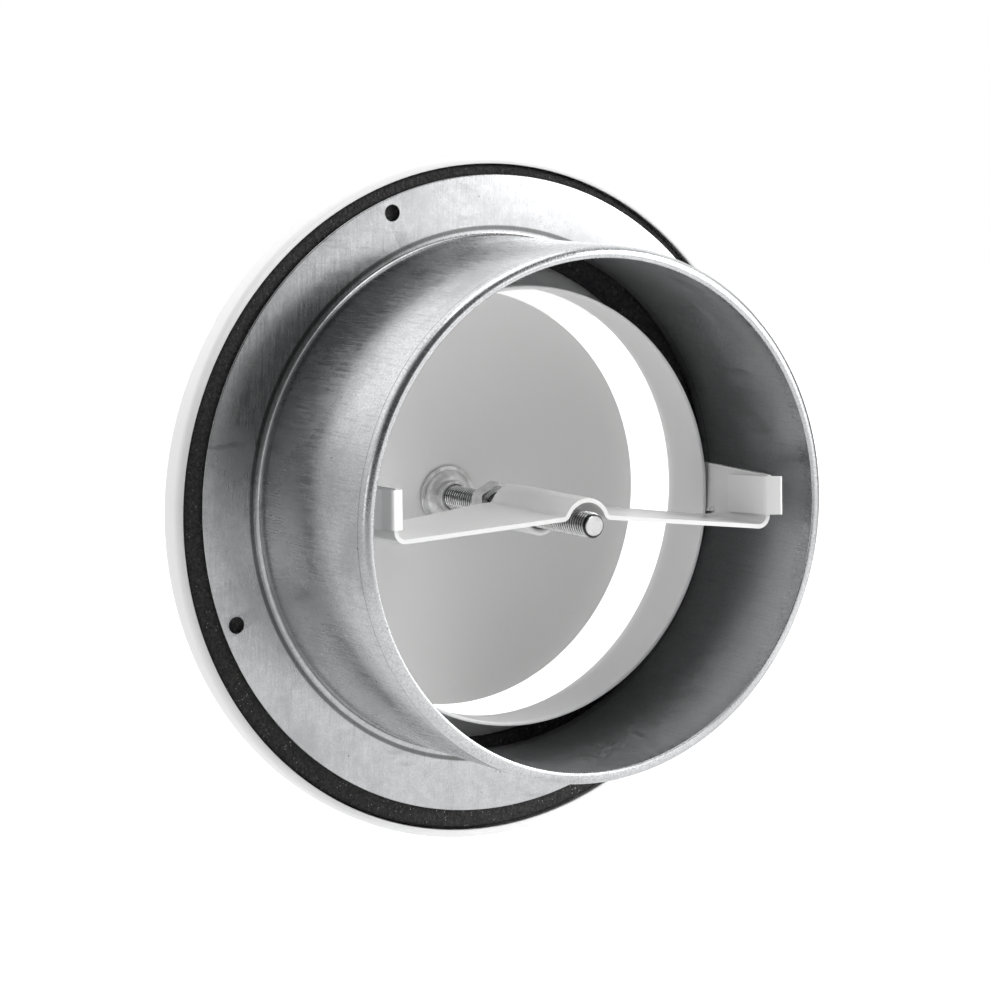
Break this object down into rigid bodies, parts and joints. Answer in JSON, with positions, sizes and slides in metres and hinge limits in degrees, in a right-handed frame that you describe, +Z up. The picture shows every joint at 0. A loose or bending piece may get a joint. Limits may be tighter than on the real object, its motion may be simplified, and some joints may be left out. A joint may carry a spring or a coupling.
{
  "type": "ventilation disc valve",
  "caption": "Round air disc valve of sheet steel with a foam gasket in a galvanised mounting frame; its disc screws in and out on a threaded spindle held by a bridge.",
  "frame": {"origin": "centre of the mounting frame's sleeve in the plane of its flange's rear face, the plane of the wall", "axes": "+Y along the duct from the room into the duct, +Z up, +X to the left for someone who looks from the duct into the room"},
  "size_m": [0.166, 0.0694, 0.166],
  "materials": {
    "galvanised_steel": "hot-dip galvanised sheet with fine drawing marks along the sleeve",
    "black_foam": "open-cell black foam",
    "white_body_coat": "white powder coat, half gloss",
    "white_bridge_coat": "white powder coat, half gloss",
    "white_clip_coat": "white powder coat, half gloss",
    "white_bush_coat": "white powder coat, half gloss",
    "white_disc_coat": "white powder coat, satin",
    "nut_zinc": "bright zinc plate",
    "spindle_zinc": "bright zinc plate",
    "boss_zinc": "bright zinc plate"
  },
  "bodies": {
    "root": {"mounting_frame": "galvanised_steel", "foam_gasket": "black_foam", "valve_body": "white_body_coat", "bridge": "white_bridge_coat", "spring_clip_left": "white_clip_coat", "spring_clip_right": "white_clip_coat", "threaded_bush": "white_bush_coat"},
    "spindle_carriage": {"spindle": "spindle_zinc"},
    "disc": {"spindle_boss": "boss_zinc", "valve_disc": "white_disc_coat"},
    "lock_nut": {"lock_nut": "nut_zinc"}
  },
  "joints": [
    {"name": "disc_travel", "type": "slide", "parent": "root", "child": "spindle_carriage", "axis": [0, 1, 0], "range_m": [-0.0181, 0.0151]},
    {"name": "disc_turn", "type": "hinge", "parent": "spindle_carriage", "child": "disc", "pos_m": [0.0011, -0.0185, -0.0021], "axis": [0, 1, 0], "range_deg": [-6480, 5400]},
    {"name": "lock_nut_turn", "type": "hinge", "parent": "root", "child": "lock_nut", "pos_m": [0.0011, 0.0046, -0.0021], "axis": [0, 1, 0], "continuous": true}
  ],
  "couplings": [
    {"joint": "disc_travel", "follows": "disc_turn", "m_per_rad": 0.00015915}
  ]
}
